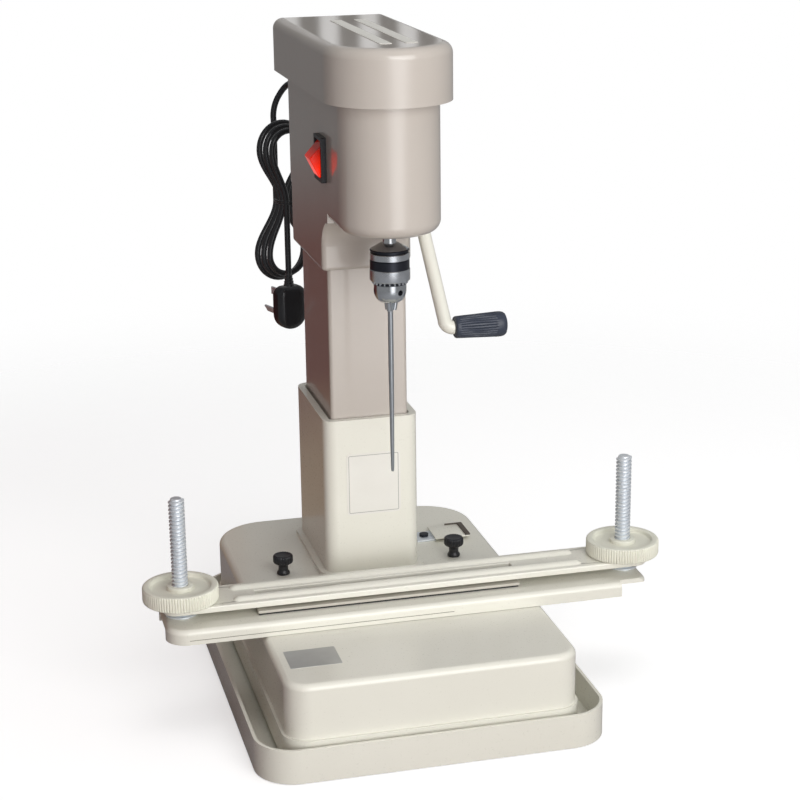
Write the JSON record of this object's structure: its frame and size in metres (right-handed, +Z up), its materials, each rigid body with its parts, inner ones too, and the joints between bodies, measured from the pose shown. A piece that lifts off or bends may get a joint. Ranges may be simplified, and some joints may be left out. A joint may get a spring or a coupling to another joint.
{
  "type": "electric binding machine",
  "caption": "Desk drilling and binding machine: motor head on a telescoping column fed by a hand crank, keyed chuck with a long hollow needle, sliding two-bar paper clamp and chip tray.",
  "frame": {"origin": "middle of the tray's flat underside, on the table", "axes": "+X to the right of a person at the front, +Y to the back, +Z up"},
  "size_m": [0.407, 0.3753, 0.5],
  "materials": {
    "cream_paint": "glossy cream stoved enamel",
    "taupe_paint": "glossy taupe stoved enamel",
    "nut_cream": "moulded, ridged rim",
    "ground_steel": "ground and polished",
    "zinc_steel": "bright zinc plate",
    "dark_steel": "black oxide",
    "laminated_steel": "bare laminations",
    "cast_alloy": "as cast",
    "bronze": "turned",
    "nylon": "natural",
    "black_plastic": "moulded, satin",
    "slate_plastic": "moulded, fine ribs",
    "red_plastic": "translucent, lit from within",
    "black_rubber": "smooth"
  },
  "bodies": {
    "base": {"chip_tray": "cream_paint", "rubber_feet": "black_rubber", "base_plinth": "cream_paint", "base_cover": "cream_paint", "cover_screws": "zinc_steel", "column_sleeve": "cream_paint", "sleeve_screws": "zinc_steel", "guide_pads": "nylon", "rack_post": "ground_steel", "rack_bolts": "dark_steel", "clamp_rail": "ground_steel", "rail_screws": "dark_steel", "side_bracket": "zinc_steel", "bracket_pad": "black_plastic", "bracket_screw": "dark_steel"},
    "head": {"inner_column": "taupe_paint", "column_plate": "ground_steel", "column_screws": "dark_steel", "head_housing": "taupe_paint", "top_cap": "taupe_paint", "motor_stator": "laminated_steel", "motor_lower_bracket": "cast_alloy", "motor_upper_bracket": "cast_alloy", "lower_bearing": "ground_steel", "upper_bearing": "ground_steel", "motor_screws": "dark_steel", "switch_bezel": "black_plastic", "crank_bushes": "bronze", "cord_gland": "black_rubber", "cord_lead": "black_rubber", "cord_hank": "black_rubber", "cord_tie": "black_plastic", "plug_body": "black_plastic", "plug_blades": "zinc_steel"},
    "crank": {"crank_shaft": "ground_steel", "pinion": "ground_steel", "crank_washer": "zinc_steel", "crank_arm": "cream_paint", "crank_screw": "zinc_steel"},
    "grip": {"crank_grip": "slate_plastic"},
    "spindle": {"spindle_shaft": "ground_steel", "rotor": "laminated_steel", "cooling_fan": "nylon", "chuck_body": "ground_steel", "needle": "zinc_steel"},
    "chuck_ring": {"chuck_sleeve": "ground_steel"},
    "jaw_1": {"jaw_1": "ground_steel"},
    "jaw_2": {"jaw_2": "ground_steel"},
    "jaw_3": {"jaw_3": "ground_steel"},
    "rocker": {"switch_rocker": "red_plastic"},
    "clamp": {"lower_bar": "cream_paint", "studs": "zinc_steel", "stud_washers": "zinc_steel", "jam_nuts": "zinc_steel", "backing_strips": "nylon"},
    "press": {"press_bar": "cream_paint"},
    "nut_left": {"left_hand_nut": "nut_cream"},
    "nut_right": {"right_hand_nut": "nut_cream"},
    "knob_left": {"left_knob": "black_plastic"},
    "knob_right": {"right_knob": "black_plastic"}
  },
  "joints": [
    {"name": "head_slide", "type": "slide", "parent": "base", "child": "head", "axis": [0, 0, -1], "range_m": [0, 0.095]},
    {"name": "crank_turn", "type": "hinge", "parent": "head", "child": "crank", "pos_m": [0.048, 0.06, 0.3605], "axis": [1, 0, 0], "range_deg": [0, 345]},
    {"name": "grip_spin", "type": "hinge", "parent": "crank", "child": "grip", "pos_m": [0.08, -0.0015, 0.276], "axis": [1, 0, 0], "continuous": true},
    {"name": "spindle_spin", "type": "hinge", "parent": "head", "child": "spindle", "pos_m": [0, -0.0427, 0.35], "axis": [0, 0, 1], "continuous": true},
    {"name": "chuck_turn", "type": "hinge", "parent": "spindle", "child": "chuck_ring", "pos_m": [0, -0.0427, 0.333], "axis": [0, 0, 1], "range_deg": [0, 541]},
    {"name": "jaw_1_slide", "type": "slide", "parent": "spindle", "child": "jaw_1", "axis": [0.1736, 0, 0.9848], "range_m": [0, 0.004]},
    {"name": "jaw_2_slide", "type": "slide", "parent": "spindle", "child": "jaw_2", "axis": [-0.0868, 0.1504, 0.9848], "range_m": [0, 0.00401]},
    {"name": "jaw_3_slide", "type": "slide", "parent": "spindle", "child": "jaw_3", "axis": [-0.0868, -0.1504, 0.9848], "range_m": [0, 0.00401]},
    {"name": "switch_rock", "type": "hinge", "parent": "head", "child": "rocker", "pos_m": [-0.0407, 0.007, 0.411], "axis": [0, 1, 0], "range_deg": [-16, 0]},
    {"name": "clamp_slide", "type": "slide", "parent": "base", "child": "clamp", "axis": [1, 0, 0], "range_m": [-0.09, 0.09]},
    {"name": "press_slide", "type": "slide", "parent": "clamp", "child": "press", "axis": [0, 0, 1], "range_m": [0, 0.048]},
    {"name": "nut_left_turn", "type": "hinge", "parent": "press", "child": "nut_left", "pos_m": [-0.1646, -0.0427, 0.099], "axis": [0, 0, 1], "range_deg": [0, 5761]},
    {"name": "nut_right_turn", "type": "hinge", "parent": "press", "child": "nut_right", "pos_m": [0.1854, -0.0427, 0.099], "axis": [0, 0, 1], "range_deg": [0, 5761]},
    {"name": "knob_left_turn", "type": "hinge", "parent": "base", "child": "knob_left", "pos_m": [-0.071, 0.0416, 0.08], "axis": [0, 0, 1], "range_deg": [0, 720]},
    {"name": "knob_right_turn", "type": "hinge", "parent": "base", "child": "knob_right", "pos_m": [0.071, 0.0416, 0.08], "axis": [0, 0, 1], "range_deg": [0, 720]}
  ],
  "couplings": [
    {"joint": "crank_turn", "follows": "head_slide", "rad_per_m": 62.5},
    {"joint": "chuck_turn", "follows": "jaw_1_slide", "rad_per_m": 2356.2},
    {"joint": "jaw_2_slide", "follows": "jaw_1_slide", "ratio": 1},
    {"joint": "jaw_3_slide", "follows": "jaw_1_slide", "ratio": 1},
    {"joint": "nut_left_turn", "follows": "press_slide", "rad_per_m": 2094.4},
    {"joint": "nut_right_turn", "follows": "press_slide", "rad_per_m": 2094.4}
  ]
}
